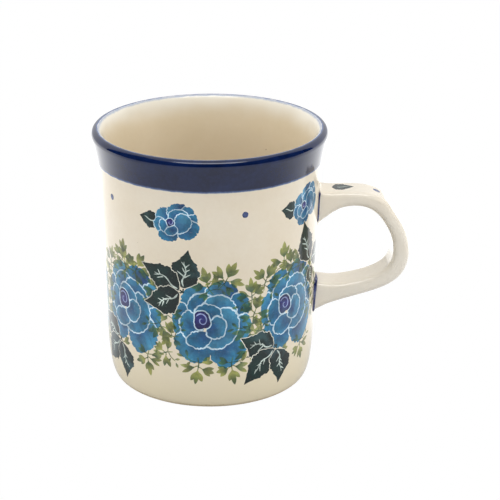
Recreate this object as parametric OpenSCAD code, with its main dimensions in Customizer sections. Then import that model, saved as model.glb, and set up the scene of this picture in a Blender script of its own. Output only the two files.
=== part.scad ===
// Straight-sided stoneware mug with a strap handle.
// The cup stands on the table at z = 0, its axis is the Z axis and the
// handle points to +X. All sizes are in millimetres.

/* [Cup] */
// Height from the table to the top of the lip
mug_h = 90; // [82:1:100]
// Outside radius at the widest point of the flared lip
rim_r = 40.4; // [39.6:0.1:42]
// Outside radius just below the painted band
neck_r = 38.2; // [37.4:0.1:39]
// Outside radius where the heel curve starts
heel_r = 36.6; // [36:0.1:37.2]
// Outside radius of the ring that the cup stands on
foot_r = 33.5; // [32:0.1:34.5]
// Width of the standing ring
foot_w = 3.6; // [3:0.1:5]
// Height of the hollow under the floor, inside the standing ring
foot_recess = 2.2; // [1.5:0.1:3]
// Whole thickness of the glazed wall
wall_t = 4; // [3.6:0.1:4.6]
// Height of the inside floor above the table
floor_z = 7; // [6:0.1:8.5]

/* [Rim band] */
// Height of the painted band, from its lower edge to the top of the lip
band_h = 11.3; // [8:0.1:14]

/* [Glaze] */
// Thickness of the fired glaze coat
glaze_t = 0.35; // [0.3:0.01:0.45]
// Height of the bare clay left above the table so the foot doesn't stick in the kiln
bare_h = 1.2; // [0.8:0.1:1.8]

/* [Handle] */
// Furthest point of the handle from the axis of the cup
handle_reach = 69; // [66:0.5:72]
// Width of the strap, across the handle
strap_w = 12.7; // [11:0.1:14.5]
// Thickness of the strap at the grip
strap_t = 5.2; // [4.8:0.1:6]
// Height of the root of the upper arm
root_hi = 12; // [11:0.1:13]
// Height of the root of the lower arm
root_lo = 10.6; // [9.5:0.1:11.5]
// Rounding of the strap's long edges
edge_r = 2.1; // [1.6:0.1:2.4]
// Thickness of the luting slip between the handle and the wall
slip_t = 0.6; // [0.5:0.05:0.8]

/* [Hidden] */
$fn = 64;

bare_clay = [0.79, 0.70, 0.58];
cream     = [0.91, 0.88, 0.81];
cobalt    = [0.14, 0.16, 0.36];
slip_col  = [0.86, 0.82, 0.74];

// ---- small vector helpers ----
function bez2(a, b, c, t) = (1-t)*(1-t)*a + 2*t*(1-t)*b + t*t*c;
function bez3(a, b, c, d, t) =
    pow(1-t,3)*a + 3*pow(1-t,2)*t*b + 3*(1-t)*t*t*c + pow(t,3)*d;
function unit(v) = v / norm(v);
function left(v) = [-v[1], v[0]];

// ---- glazed outside of the cup, from the foot up to the lip ----
lip_r  = wall_t/2;                  // rounding of the lip's outside
lip_c  = [rim_r - lip_r, mug_h - lip_r];
band_z = mug_h - band_h;
heel_z = 18.5;
flare_z = band_z - 5.7;             // where the wall starts to flare
mid    = [(neck_r + heel_r)/2 - 0.1, (flare_z + heel_z)*0.49];
slope  = (neck_r - 0.13 - heel_r) / (flare_z - heel_z);
n_heel = 12; n_flare = 6; n_lip = 11;
lip_from = -15;                     // angle at which the flare runs into the lip
flare_0 = [neck_r - 0.13, flare_z];
flare_1 = lip_c + lip_r*[cos(lip_from), sin(lip_from)];
flare_h = flare_1[1] - flare_0[1];
// Radius of the flare as a smooth function of height, t from 0 to 1
function flare(t) = [
    (2*t*t*t - 3*t*t + 1)*flare_0[0] + (t*t*t - 2*t*t + t)*flare_h*slope
    + (3*t*t - 2*t*t*t)*flare_1[0] - (t*t*t - t*t)*flare_h*tan(lip_from),
    flare_0[1] + t*flare_h];
t_band = (band_z - flare_z)/flare_h;

outer_pts = concat(
    [for (i = [0:n_heel]) bez3([foot_r, 0], [foot_r + 1.1, 0],
        [heel_r - slope*heel_z*0.86, heel_z*0.14], [heel_r, heel_z], i/n_heel)],
    [mid, flare_0],
    [for (i = [1:3]) flare(t_band*i/3)],
    [for (i = [1:n_flare]) flare(t_band + (1 - t_band)*i/n_flare)]);
lip_pts = [for (i = [1:n_lip]) let (a = lip_from + (90 - lip_from)*i/n_lip)
    lip_c + lip_r*[cos(a), sin(a)]];

// ---- glazed inside, from the lip down to the middle of the floor ----
in_neck  = neck_r - wall_t + 0.1;
in_heel  = heel_r - wall_t - 0.3;
floor_br = 9;                       // rounding where the wall meets the floor
inner_pts = concat(
    [for (i = [1:12]) let (t = pow(i/12, 1.25)) bez3([lip_c[0], mug_h],
        [lip_c[0] - 0.9*lip_r, mug_h], [in_neck + 0.65, band_z + 5.8],
        [in_neck, band_z - 2.7], t)],
    [[(in_neck + in_heel)/2, (band_z + heel_z)/2 - 2]],
    [for (i = [0:10]) bez3([in_heel, floor_z + floor_br + 2], [in_heel - 0.25, floor_z + 3.2],
        [in_heel - 3.4, floor_z + 0.15], [in_heel - floor_br - 1, floor_z], i/10)],
    [[0, floor_z - 0.001]]);

glazed = concat(outer_pts, lip_pts, inner_pts);
last   = len(glazed) - 1;
i_band = n_heel + 5;                          // lower edge of the band
i_lip  = len(outer_pts) + n_lip + 1;          // where the band's paint ends inside

// Glaze thickness fades to nothing over the first steps above the bare foot
function coat(i) = glazed[i][1] < bare_h && i < 6 ? 0
    : i < 6 ? glaze_t * min(1, (glazed[i][1] - bare_h)/1.2 + 0.15) : glaze_t;
// Direction across the wall, out of the clay
function out_dir(i) = i == last ? [0, 1]
    : let (a = glazed[max(0, i-1)], b = glazed[i+1]) -left(unit(b - a));
// Clay surface under the glaze
clay = [for (i = [0:last]) i == last ? [0, floor_z - glaze_t]
    : glazed[i] - coat(i)*out_dir(i)];

// Last station that is still bare
i_bare = max([for (i = [0:n_heel]) if (coat(i) == 0) i]);

// A closed strip of coat between two stations of the profile
module coat_strip(i0, i1) {
    rotate_extrude($fn = 128)
        polygon(concat([for (i = [i0:i1]) glazed[i]],
            [for (i = [i1:-1:i0]) if (coat(i) > 0) clay[i]]));
}

// Everything within the outside of the cup grown by d: used to trim the handle
module cup_envelope(d) {
    rotate_extrude($fn = 128)
        polygon(concat([[0, 0]],
            [for (i = [0:len(outer_pts)-1]) clay[i] + [d, 0]],
            [[0, mug_h - lip_r]]));
}

// ---- handle centre line: a uniform cubic B-spline over hand-set stations ----
wall_x = (neck_r + heel_r)/2;
reach  = handle_reach - strap_t/2 - wall_x;   // centre-line reach past the wall
// each row: [share of the reach, height, thickness]
stations = [
    [-0.28, 60.4, root_hi + 4.0],
    [-0.05, 62.3, root_hi + 1.2],
    [ 0.10, 63.2, 8.1],
    [ 0.27, 64.6, strap_t],
    [ 0.54, 64.9, strap_t - 0.4],
    [ 0.74, 62.4, strap_t + 0.7],
    [ 0.82, 58.8, strap_t - 0.8],
    [ 0.98, 52.0, strap_t],
    [ 1.02, 43.2, strap_t + 0.3],
    [ 0.94, 37.6, strap_t + 0.8],
    [ 0.74, 33.5, strap_t - 0.2],
    [ 0.27, 30.0, strap_t + 0.4],
    [ 0.07, 29.4, 8.4],
    [-0.10, 28.5, root_lo + 1.8],
    [-0.30, 28.3, root_lo + 3.2]];
n_st = len(stations);
per  = 4;                                     // rings between stations
function st(i) = let (s = stations[i]) [wall_x + s[0]*reach, s[1], s[2]];
function bsp(a, b, c, d, t) =
    (pow(1-t,3)*a + (3*t*t*t - 6*t*t + 4)*b + (-3*t*t*t + 3*t*t + 3*t + 1)*c + t*t*t*d)/6;
line3 = [for (i = [0:n_st-4]) for (k = [0:per-1])
            bsp(st(i), st(i+1), st(i+2), st(i+3), k/per),
         bsp(st(n_st-4), st(n_st-3), st(n_st-2), st(n_st-1), 1)];
n_ring = len(line3);
function along(i) = let (a = line3[max(0, i-1)], b = line3[min(n_ring-1, i+1)])
    unit([b[0]-a[0], b[1]-a[1]]);

// Rounded strap section: five points round each corner, listed anticlockwise
q = 5;
function corner(w, t, r, k, j) =
    let (sx = (k == 0 || k == 3) ? 1 : -1, sy = k < 2 ? 1 : -1, a = 90*k + 90*j/(q-1))
    [sx*(w/2 - r) + r*cos(a), sy*(t/2 - r) + r*sin(a)];
function section(w, t, r) = [for (k = [0:3]) for (j = [0:q-1]) corner(w, t, r, k, j)];
n_sec = 4*q;

module strap(grow) {
    pts = [for (i = [0:n_ring-1])
        let (c = line3[i], d = along(i), n = left(d), t = c[2] + 2*grow, w = strap_w + 2*grow)
        for (p = section(w, t, min(edge_r + grow, t/2 - 0.2)))
            [c[0] + n[0]*p[1], p[0], c[1] + n[1]*p[1]]];
    sides = [for (i = [0:n_ring-2]) for (j = [0:n_sec-1])
        let (a = i*n_sec + j, b = i*n_sec + (j+1)%n_sec)
        [a, a + n_sec, b + n_sec, b]];
    polyhedron(points = pts, convexity = 6, faces = concat(sides,
        [[for (j = [0:n_sec-1]) j]],
        [[for (j = [n_sec-1:-1:0]) (n_ring-1)*n_sec + j]]));
}

// ---- footprint of each slip joint, seen along X ----
pad_hi_z = 62.5; pad_lo_z = 29.1;
function rounded(w, h, r) = [for (k = [0:3]) for (j = [0:6])
    let (sx = (k == 0 || k == 3) ? 1 : -1, sy = k < 2 ? 1 : -1, a = 90*k + 15*j)
    [sx*(w/2 - r) + r*cos(a), sy*(h/2 - r) + r*sin(a)]];
module footprint(z0, w, h) {
    translate([30, 0, z0]) rotate([90, 0, 90])
        linear_extrude(12) polygon(rounded(w, h, 3));
}
module slip_pad(z0, h) {
    intersection() {
        footprint(z0, strap_w + 1.8, h + 1.8);
        difference() { cup_envelope(slip_t); cup_envelope(0); }
    }
}

// ---- sub-parts ----
module cup_body() {
    color(bare_clay) rotate_extrude($fn = 128)
        polygon(concat([[0, foot_recess], [foot_r - foot_w - 1.2, foot_recess],
            [foot_r - foot_w, 0.4], [foot_r - foot_w + 0.5, 0]],
            [for (i = [0:last]) clay[i]]));
}
module handle() {
    color(bare_clay) difference() { strap(-glaze_t); cup_envelope(slip_t); }
}
module upper_slip_joint() { color(slip_col) slip_pad(pad_hi_z, root_hi); }
module lower_slip_joint() { color(slip_col) slip_pad(pad_lo_z, root_lo); }
module outer_glaze() {
    color(cream) difference() {
        coat_strip(i_bare, i_band);
        footprint(pad_hi_z, strap_w + 1.8, root_hi + 1.8);
        footprint(pad_lo_z, strap_w + 1.8, root_lo + 1.8);
    }
}
module inner_glaze() { color(cream) coat_strip(i_lip, last); }
module rim_band() { color(cobalt) coat_strip(i_band, i_lip); }
module handle_glaze() {
    color(cream) difference() { strap(0); strap(-glaze_t); cup_envelope(slip_t); }
}

cup_body();
handle();
upper_slip_joint();
lower_slip_joint();
outer_glaze();
inner_glaze();
rim_band();
handle_glaze();
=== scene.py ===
# Polish stoneware mug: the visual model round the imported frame.
# Everything is built by rule in millimetres and scaled to metres at the end.
import bpy
import math
import numpy as np
from mathutils import Vector, Matrix
from mathutils.geometry import delaunay_2d_cdt

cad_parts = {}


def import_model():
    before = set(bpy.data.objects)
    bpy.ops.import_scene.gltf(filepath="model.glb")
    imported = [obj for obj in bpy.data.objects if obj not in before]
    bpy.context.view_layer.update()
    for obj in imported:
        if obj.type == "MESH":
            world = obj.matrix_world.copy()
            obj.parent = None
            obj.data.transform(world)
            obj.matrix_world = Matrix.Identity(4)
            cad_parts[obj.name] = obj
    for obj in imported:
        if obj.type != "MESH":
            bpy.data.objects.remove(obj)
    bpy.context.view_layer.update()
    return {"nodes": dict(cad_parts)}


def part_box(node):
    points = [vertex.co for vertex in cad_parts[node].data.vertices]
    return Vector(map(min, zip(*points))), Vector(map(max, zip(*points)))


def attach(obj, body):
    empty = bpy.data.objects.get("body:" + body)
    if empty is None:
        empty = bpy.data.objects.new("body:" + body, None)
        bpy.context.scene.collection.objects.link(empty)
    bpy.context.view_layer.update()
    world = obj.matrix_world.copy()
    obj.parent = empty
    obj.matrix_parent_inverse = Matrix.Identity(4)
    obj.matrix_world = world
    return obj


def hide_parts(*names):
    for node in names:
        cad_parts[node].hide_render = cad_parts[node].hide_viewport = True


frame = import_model()
MM = 0.001

# ---------------------------------------------------------------------------
# The cup's profile, in millimetres: what a node's box shows comes from the
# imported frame, and the rest are the CAD part's own dimensions
# ---------------------------------------------------------------------------
def mm_box(name):
    """A node's lowest and highest corners in millimetres."""
    return [[1000 * float(v) for v in c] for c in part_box(name)]


def agree(what, packed, drawn):
    """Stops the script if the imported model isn't the one this is drawn for."""
    if abs(packed - drawn) > 0.3:
        raise SystemExit("%s: %.2f mm in the packed model, %.2f here" % (what, packed, drawn))


NECK_R, HEEL_R, FOOT_R = 38.2, 36.6, 33.5
FOOT_W, RECESS, WALL_T = 3.6, 2.2, 4.0
GLAZE, BARE = 0.35, 1.2
(_, _, band_lo), (rim_x, rim_y, band_hi) = mm_box("rim_band")
MUG_H, BAND_Z, RIM_R = round(band_hi, 1), round(band_lo, 1), round(max(rim_x, rim_y), 1)
FLOOR_Z = round(mm_box("inner_glaze")[0][2] + GLAZE, 1)
for what, packed, drawn in (("height", MUG_H, 90.0), ("band", BAND_Z, 78.7), ("rim", RIM_R, 40.4), ("floor", FLOOR_Z, 7.0)):
    agree(what, packed, drawn)
LIP_R = WALL_T / 2
LIP_C = (RIM_R - LIP_R, MUG_H - LIP_R)
RM = 37.4                      # radius at which the wall is unrolled
LOOP = 2 * math.pi * RM        # length of the unrolled wall


def bez(pts, n, ends=(True, True)):
    t = np.linspace(0, 1, n)
    p = [np.array(q, float) for q in pts]
    if len(p) == 3:
        out = [((1 - u) ** 2) * p[0] + 2 * u * (1 - u) * p[1] + u * u * p[2] for u in t]
    else:
        out = [((1 - u) ** 3) * p[0] + 3 * (1 - u) ** 2 * u * p[1] + 3 * (1 - u) * u * u * p[2] + u ** 3 * p[3] for u in t]
    out = np.array(out)
    return out[(0 if ends[0] else 1):(len(out) if ends[1] else -1)]


def hermite(p0, d0, p1, d1, n):
    """Curve from p0 to p1 whose r is a smooth function of z; d = dr/dz."""
    z = np.linspace(p0[1], p1[1], n)
    h = p1[1] - p0[1]
    t = (z - p0[1]) / h
    r = ((2 * t ** 3 - 3 * t ** 2 + 1) * p0[0] + (t ** 3 - 2 * t ** 2 + t) * h * d0
         + (-2 * t ** 3 + 3 * t ** 2) * p1[0] + (t ** 3 - t ** 2) * h * d1)
    return np.column_stack([r, z])


FLARE_Z = BAND_Z - 5.7
flare_0 = (NECK_R - 0.13, FLARE_Z)
slope = (flare_0[0] - HEEL_R) / (FLARE_Z - 18.5)
lip_a0 = math.radians(-15)
flare_1 = (LIP_C[0] + LIP_R * math.cos(lip_a0), LIP_C[1] + LIP_R * math.sin(lip_a0))
heel = bez([(FOOT_R, 0), (FOOT_R + 1.1, 0), (HEEL_R - slope * 18.5 * 0.86, 18.5 * 0.14), (HEEL_R, 18.5)], 70)
straight = hermite((HEEL_R, 18.5), slope, flare_0, slope, 60)[1:]
flare = hermite(flare_0, slope, flare_1, -math.tan(lip_a0), 50)[1:]
la = np.linspace(lip_a0, math.pi / 2, 50)[1:]
lip = np.column_stack([LIP_C[0] + LIP_R * np.cos(la), LIP_C[1] + LIP_R * np.sin(la)])
in_neck = (NECK_R - WALL_T + 0.1, BAND_Z - 2.7)
in_flare = bez([(LIP_C[0], MUG_H), (LIP_C[0] - 0.9 * LIP_R, MUG_H), (in_neck[0] + 0.65, BAND_Z + 5.8), in_neck], 70)[1:]
in_wall = np.vstack([hermite(in_neck, 0.076, (33.95, 66.0), 0.0346, 22)[1:],
                     hermite((33.95, 66.0), 0.0346, (32.3, 18.0), 0.031, 40)[1:]])
in_floor = bez([(32.3, 18.0), (32.05, 10.2), (28.9, 7.15), (22.0, FLOOR_Z)], 50)[1:]
centre = np.column_stack([np.linspace(22.0, 0.0, 22)[1:], np.full(21, FLOOR_Z)])
PROF = np.vstack([heel, straight, flare, lip, in_flare, in_wall, in_floor, centre])
seg = np.hypot(*np.diff(PROF, axis=0).T)
ARC = np.concatenate([[0], np.cumsum(seg)])
tang = np.gradient(PROF, ARC, axis=0)
tang /= np.hypot(*tang.T)[:, None]
NRM = np.column_stack([tang[:, 1], -tang[:, 0]])      # out of the clay
n_out = len(heel) + len(straight) + len(flare)


def at_arc(a):
    """Point and outward normal of the profile at arc length a."""
    a = np.asarray(a, float)
    r = np.interp(a, ARC, PROF[:, 0])
    z = np.interp(a, ARC, PROF[:, 1])
    nr = np.interp(a, ARC, NRM[:, 0])
    nz = np.interp(a, ARC, NRM[:, 1])
    m = np.hypot(nr, nz)
    return r, z, nr / m, nz / m


# Arc lengths of the places where one coat ends and the next starts
A_BARE = float(np.interp(BARE, PROF[:len(heel), 1], ARC[:len(heel)]))
A_BAND = float(np.interp(BAND_Z, PROF[:n_out, 1], ARC[:n_out]))
A_LIPEND = float(ARC[n_out + len(lip) - 1])
A_IN = A_LIPEND + 0.45                                # the band's inner edge
A_END = float(ARC[-1])


def wall_r(z):
    """Radius of the glazed outside at height z."""
    return np.interp(z, PROF[8:n_out, 1], PROF[8:n_out, 0])


agree("wall at the band", mm_box("outer_glaze")[1][1], float(wall_r(BAND_Z)))


# ---------------------------------------------------------------------------
# Mesh helpers
# ---------------------------------------------------------------------------
def lin(c):
    c = np.asarray(c, float) / 255.0
    return np.where(c <= 0.04045, c / 12.92, ((c + 0.055) / 1.055) ** 2.4)


def make_object(name, verts_mm, faces, normals=None, corner_cols=None, floats=None, mat=None):
    """A smooth-shaded object. normals: one per vertex or per corner, or None."""
    me = bpy.data.meshes.new(name)
    me.from_pydata([tuple(v) for v in np.asarray(verts_mm, float) * MM], [], [list(map(int, f)) for f in faces])
    me.update()
    for p in me.polygons:
        p.use_smooth = True
    if corner_cols is not None:
        ca = me.color_attributes.new("paint", "FLOAT_COLOR", "CORNER")
        ca.data.foreach_set("color", np.asarray(corner_cols, np.float32).ravel())
    for key, vals in (floats or {}).items():
        fa = me.attributes.new(key, "FLOAT", "POINT")
        fa.data.foreach_set("value", np.asarray(vals, np.float32).ravel())
    ob = bpy.data.objects.new(name, me)
    bpy.context.scene.collection.objects.link(ob)
    if normals is not None:
        normals = np.asarray(normals, float)
        if len(normals) == len(verts_mm):
            me.normals_split_custom_set_from_vertices([tuple(v) for v in normals])
        else:
            me.normals_split_custom_set([tuple(v) for v in normals])
    if mat:
        me.materials.append(mat)
    return ob


def revolve(name, a_list, n_seg=256, depth=GLAZE, mat=None, taper=(0, 0)):
    """A closed coat of the profile between two arc lengths: its outer face, its
    hidden inner face and the two thin edges. taper thins it at its ends."""
    a = np.asarray(a_list, float)
    r, z, nr, nz = at_arc(a)
    d = np.full(len(a), depth)
    if taper[0]:
        d *= np.clip((a - a[0]) / taper[0], 0.06, 1)
    if taper[1]:
        d *= np.clip((a[-1] - a) / taper[1], 0.06, 1)
    prof = np.vstack([np.column_stack([r, z]), np.column_stack([r - nr * d, z - nz * d])[::-1]])
    pn = np.vstack([np.column_stack([nr, nz]), -np.column_stack([nr, nz])[::-1]])
    arc = np.concatenate([a, a[::-1]])
    return spin(name, prof, pn, n_seg, mat, {"edge_in": a[-1] - arc, "edge_out": arc - a[0]})


def spin(name, prof, pn, n_seg, mat, floats=None):
    """Revolves a closed section (r, z), listed with the solid on its left."""
    k = len(prof)
    axis_pts = [i for i in range(k) if prof[i][0] < 1e-6]
    th = np.linspace(0, 2 * np.pi, n_seg, endpoint=False)
    verts, norms, idx, fl = [], [], {}, {q: [] for q in (floats or {})}
    for i in range(k):
        if i in axis_pts:
            idx[i] = [len(verts)] * n_seg
            verts.append((0, 0, prof[i][1]))
            norms.append((0, 0, pn[i][1]))
            for q in fl:
                fl[q].append(floats[q][i])
        else:
            b = len(verts)
            idx[i] = list(range(b, b + n_seg))
            for t in th:
                verts.append((prof[i][0] * math.sin(t), -prof[i][0] * math.cos(t), prof[i][1]))
                norms.append((pn[i][0] * math.sin(t), -pn[i][0] * math.cos(t), pn[i][1]))
                for q in fl:
                    fl[q].append(floats[q][i])
    faces = []
    for i in range(k):
        j = (i + 1) % k
        if i in axis_pts and j in axis_pts:
            continue
        for m in range(n_seg):
            q = (m + 1) % n_seg
            f = [idx[i][m], idx[i][q], idx[j][q], idx[j][m]]
            g = []
            for v in f:
                if v not in g:
                    g.append(v)
            if len(g) > 2:
                faces.append(g)
    return make_object(name, verts, faces, norms, None, fl, mat)
ROLL, SHIFT_X, SHIFT_Y = -0.2865, 0.0796, -0.0045
WORLD, FLOOR_F, FLOOR_B = 1.0, 0.99, 1.95


# ---------------------------------------------------------------------------
# Stamped decoration. Every motif is a list of flat shapes in millimetres, s
# round the wall and v up it, drawn in order from the bottom layer to the top.
# Colours are sRGB 0-255 and turned linear when used.
# ---------------------------------------------------------------------------
PETAL_A, PETAL_B = (30, 108, 146), (10, 60, 112)
PETAL_HI = (84, 152, 184)
PALE = (190, 214, 228)
CORE_A, CORE_B = (34, 38, 116), (20, 22, 84)
LEAF_A, LEAF_B = (12, 44, 40), (4, 26, 28)
VEIN = (196, 210, 202)
SPRIG_A, SPRIG_B = (142, 146, 66), (34, 66, 26)
DOT = (74, 94, 140)


def rng(seed):
    return np.random.RandomState(seed)


def wobble(n, seed, amp, lo=3, hi=9):
    """A smooth closed random curve of n values: a few low harmonics."""
    r = rng(seed)
    t = np.linspace(0, 2 * np.pi, n, endpoint=False)
    out = np.zeros(n)
    for k in range(lo, hi + 1):
        out += r.normal() * np.cos(k * t + r.uniform(0, 2 * np.pi)) / (k ** 0.8)
    m = np.abs(out).max()
    return amp * out / (m if m > 0 else 1)


def resample(pts, step, closed=True):
    p = np.asarray(pts, float)
    q = np.vstack([p, p[:1]]) if closed else p
    d = np.hypot(*np.diff(q, axis=0).T)
    a = np.concatenate([[0], np.cumsum(d)])
    n = max(6, int(round(a[-1] / step)))
    t = np.linspace(0, a[-1], n, endpoint=not closed)
    return np.column_stack([np.interp(t, a, q[:, 0]), np.interp(t, a, q[:, 1])])


def signed_area(p):
    return 0.5 * np.sum(p[:, 0] * np.roll(p[:, 1], -1) - np.roll(p[:, 0], -1) * p[:, 1])


def grow(pts, d):
    """Moves a closed outline outwards by d, a number or one per point."""
    p = np.asarray(pts, float)
    e = np.roll(p, -1, 0) - np.roll(p, 1, 0)
    n = np.column_stack([e[:, 1], -e[:, 0]])
    n /= np.maximum(np.hypot(*n.T)[:, None], 1e-9)
    s = 1.0 if signed_area(p) > 0 else -1.0
    return p + s * n * (np.asarray(d, float).reshape(-1, 1) if np.ndim(d) else d)


def ragged(pts, seed, amp, step):
    """Resamples an outline and roughens it the way a cut sponge prints."""
    p = resample(pts, step)
    n = len(p)
    hi = min(n // 3, 60)
    return grow(p, wobble(n, seed, amp, max(3, hi // 4), max(6, hi)))


def smooth_loop(pts, per=14):
    """A closed Catmull-Rom curve through a few points."""
    p = np.asarray(pts, float)
    n = len(p)
    out = []
    for i in range(n):
        a, b, c, d = p[i - 1], p[i], p[(i + 1) % n], p[(i + 2) % n]
        for k in range(per):
            t = k / per
            out.append(0.5 * (2 * b + (c - a) * t + (2 * a - 5 * b + 4 * c - d) * t * t
                              + (3 * b - a - 3 * c + d) * t ** 3))
    return np.array(out)


def frill(pts, seed, lam, amp, step):
    """Gives an outline the small uneven scallops of a petal's edge."""
    p = resample(pts, step)
    n = len(p)
    r = rng(seed)
    arc = np.arange(n) * step
    total = n * step
    k = max(3, int(round(total / lam)))
    ph = arc / total * k + 0.30 * np.sin(2 * np.pi * arc / total * 2 + r.uniform(0, 6)) \
        + 0.18 * np.sin(2 * np.pi * arc / total * 5 + r.uniform(0, 6))
    w = 0.65 + 0.35 * np.sin(2 * np.pi * arc / total * 3 + r.uniform(0, 6))
    s = np.abs(np.sin(np.pi * ph)) ** 0.7 - 0.62
    return grow(p, amp * w * s + wobble(n, seed + 5, 0.22 * amp, max(4, n // 9), max(6, n // 3)))


def stroke(path, w0, w1, step=0.45, seed=None):
    """A brush stroke along an open path, w0 wide at its start and w1 at its end."""
    p = resample(path, step, closed=False)
    e = np.gradient(p, axis=0)
    nrm = np.column_stack([-e[:, 1], e[:, 0]])
    nrm /= np.maximum(np.hypot(*nrm.T)[:, None], 1e-9)
    t = np.linspace(0, 1, len(p))
    w = (w0 + (w1 - w0) * t) / 2
    w = w * np.minimum(1, 0.35 + 3.0 * np.minimum(t, 1 - t) ** 0.6)
    if seed is not None:
        w = w * (1 + wobble(len(p), seed, 0.22))
    return np.vstack([p + nrm * w[:, None], (p - nrm * w[:, None])[::-1]])


def place(pts, at, size, turn=0.0, flip=1):
    a = math.radians(turn)
    p = np.asarray(pts, float) * np.array([flip, 1.0]) * size
    c, s = math.cos(a), math.sin(a)
    return np.column_stack([at[0] + p[:, 0] * c - p[:, 1] * s, at[1] + p[:, 0] * s + p[:, 1] * c])


def shape(pts, a, b=None, gc=None, gr=1.0, op=1.0, kind="paint", gid=0):
    p = np.asarray(pts, float)
    if signed_area(p) < 0:
        p = p[::-1]
    return dict(p=p, a=a, b=b if b is not None else a, gc=gc, gr=gr, op=op, kind=kind, gid=gid)


def mixc(a, b, t):
    return tuple(x + (y - x) * t for x, y in zip(a, b))


# The rose's cut stencil: petals from the back to the front, in mm from the
# flower's middle, each with where it is darkest and how dark it prints there
PETALS = [
    ([(-7.6, 3.6), (-10.2, 8.0), (-8.6, 12.4), (-4.6, 14.6), (-1.0, 12.2), (-1.2, 6.2)], (-3.0, 7.2), .75),
    ([(-2.0, 6.8), (-1.6, 12.6), (2.4, 15.4), (7.4, 13.8), (9.0, 10.0), (5.8, 4.6)], (6.4, 10.4), .95),
    ([(4.6, 3.4), (6.4, 9.0), (9.8, 10.8), (12.6, 8.0), (12.2, 3.4), (8.0, 0.4)], (7.4, 5.4), .55),
    ([(6.2, -3.0), (9.2, 2.2), (12.4, 2.6), (13.0, -1.6), (11.6, -5.4), (7.8, -6.4)], (8.2, -1.6), .65),
    ([(-5.0, 2.0), (-9.2, 7.4), (-12.4, 5.2), (-13.0, 0.6), (-11.6, -4.0), (-6.6, -3.6)], (-8.4, 1.8), .45),
    ([(-2.6, -2.4), (-9.6, -3.2), (-12.4, -5.6), (-11.2, -10.4), (-7.0, -13.6), (-2.6, -13.4), (-0.4, -9.8), (0.2, -5.2)],
     (-3.4, -6.2), .70),
    ([(0.6, -3.0), (-0.8, -8.6), (0.6, -13.2), (4.6, -15.6), (8.8, -13.8), (12.0, -9.6), (12.2, -5.0), (7.6, -1.2)],
     (3.6, -6.8), .85),
    ([(-5.8, 1.6), (-8.0, 6.4), (-5.4, 10.4), (-1.2, 10.8), (0.6, 7.4), (-1.8, 2.6)], (-3.2, 5.2), .60),
    ([(-2.4, 3.0), (-1.6, 8.8), (2.8, 10.2), (7.0, 7.4), (8.0, 3.0), (3.2, 0.6)], (2.4, 4.2), .80),
    ([(-4.2, 1.4), (-7.8, 4.6), (-10.0, 1.4), (-9.4, -3.4), (-5.8, -5.4), (-2.6, -2.8)], (-5.6, -0.8), .55),
    ([(-0.6, 1.0), (3.2, 5.6), (7.2, 4.2), (8.8, -0.4), (7.4, -5.6), (3.0, -8.6), (-1.2, -7.6), (-2.2, -3.2)],
     (0.6, -2.0), .60),
    ([(-2.0, -2.2), (-6.6, -3.2), (-8.0, -6.4), (-4.8, -8.6), (-1.2, -7.2), (-0.2, -4.2)], (-2.8, -4.4), .75),
    ([(-3.4, 1.6), (-5.0, 5.0), (-2.2, 7.2), (1.8, 6.0), (3.0, 2.6), (0.4, -0.4)], (-1.2, 3.0), .50),
    ([(-0.6, 0.0), (1.4, 2.8), (4.2, 1.0), (4.0, -3.2), (1.2, -5.0), (-1.6, -3.2)], (0.2, -1.4), .85),
]
SMALL = (0, 1, 2, 3, 4, 5, 6, 8, 9, 10, 11)


def rose(at, w, h, seed, turn=0.0, small=False, flip=1):
    """A full-blown rose: broad frilled petals, pale scratched edges, a curled heart."""
    out = []
    rs = rng(seed)
    kx, ky = w / 26.0, h / 31.0
    sc = np.array([kx * flip, ky])
    line = 0.46 if not small else 0.29
    lam, amp = (2.1, 0.60) if not small else (1.5, 0.42)
    step = 0.36 if not small else 0.30
    core = np.array([-3.1, 1.6])
    for i in (range(len(PETALS)) if not small else SMALL):
        ctl, dark, dk = PETALS[i]
        p = smooth_loop([(x + rs.uniform(-.3, .3), y + rs.uniform(-.3, .3)) for x, y in ctl]) * sc
        if small:
            mid = p.mean(0)
            p = mid + (p - mid) * 1.04
        outer = i < 7
        p = frill(p, seed + 17 * i, lam * rs.uniform(.85, 1.2), amp * (1.25 if outer else 0.85), step)
        pts = place(p, at, 1, turn)
        hi = rs.uniform(0.0, 0.55)
        ca, cb = mixc(PETAL_B, PETAL_A, 1 - dk), mixc(PETAL_A, PETAL_HI, hi)
        gc = place([np.array(dark) * sc], at, 1, turn)[0]
        reach = np.hypot(*(pts - gc).T).max()
        out.append(shape(grow(pts, line * (1 + wobble(len(pts), seed + 31 * i, 0.45, 2, 9))), PALE, kind="line"))
        out.append(shape(pts, ca, cb, gc, reach * 0.95))
    # the curled heart: a dark bud with a pale spiral scratched through it
    c0 = place([core * sc], at, 1, turn)[0]
    bw, bh = (2.55, 3.2) if not small else (1.25, 1.25)
    t = np.linspace(0, 2 * np.pi, 60, endpoint=False)
    sq = (np.abs(np.cos(t)) ** 3.2 + np.abs(np.sin(t)) ** 3.2) ** (-1 / 3.2)
    bud = np.column_stack([bw * sq * np.cos(t), bh * sq * np.sin(t)]) * (1 + 0.07 * np.cos(3 * t + 1.1))[:, None]
    bud = frill(bud, seed + 3, 2.2 if not small else 1.2, 0.22 if not small else 0.10, 0.3)
    bud = place(bud, c0, 1, turn + 8)
    out.append(shape(grow(bud, line * 0.9), PALE, kind="line"))
    out.append(shape(bud, CORE_A, CORE_B, c0, bh))
    turns = 1.25 if not small else 0.9
    tt = np.linspace(0.4, 2 * np.pi * turns, 44)
    rad = 0.10 + 0.74 * (tt / tt[-1])
    sp = np.column_stack([flip * bw * rad * np.cos(tt + 0.9), bh * rad * np.sin(tt + 0.9)])
    out.append(shape(place(stroke(sp, 0.30 if not small else .18, 0.46 if not small else .24, 0.3, seed + 9), c0, 1, turn + 8),
                     (146, 160, 208), kind="line"))
    return out


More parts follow.
